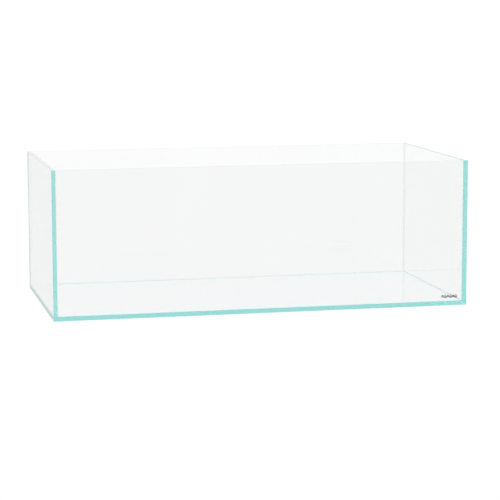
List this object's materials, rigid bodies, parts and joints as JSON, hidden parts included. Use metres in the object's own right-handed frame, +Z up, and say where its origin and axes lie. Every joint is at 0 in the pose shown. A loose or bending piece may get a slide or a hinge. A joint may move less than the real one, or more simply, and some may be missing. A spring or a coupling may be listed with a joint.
{
  "type": "aquarium tank",
  "caption": "Rimless rectangular glass aquarium tank with mitred, silicone-bonded panes, open at the top.",
  "frame": {"origin": "centre of the underside, on the surface that the tank stands on", "axes": "+X along the width to the viewer's right, +Y from the front pane to the rear pane, +Z up"},
  "size_m": [0.6, 0.3002, 0.21],
  "materials": {
    "glass": "polished",
    "joint_silicone": "clear, cured between polished glass faces",
    "bead_silicone": "clear, tooled smooth",
    "fired_ink": "fired screen print"
  },
  "bodies": {
    "root": {"front_pane": "glass", "rear_pane": "glass", "left_pane": "glass", "right_pane": "glass", "base_pane": "glass", "front_left_bond": "joint_silicone", "front_right_bond": "joint_silicone", "rear_left_bond": "joint_silicone", "rear_right_bond": "joint_silicone", "front_base_bond": "joint_silicone", "rear_base_bond": "joint_silicone", "left_base_bond": "joint_silicone", "right_base_bond": "joint_silicone", "front_base_bead": "bead_silicone", "rear_base_bead": "bead_silicone", "left_base_bead": "bead_silicone", "right_base_bead": "bead_silicone", "front_left_bead": "bead_silicone", "front_right_bead": "bead_silicone", "rear_left_bead": "bead_silicone", "rear_right_bead": "bead_silicone", "printed_mark": "fired_ink"}
  },
  "joints": []
}
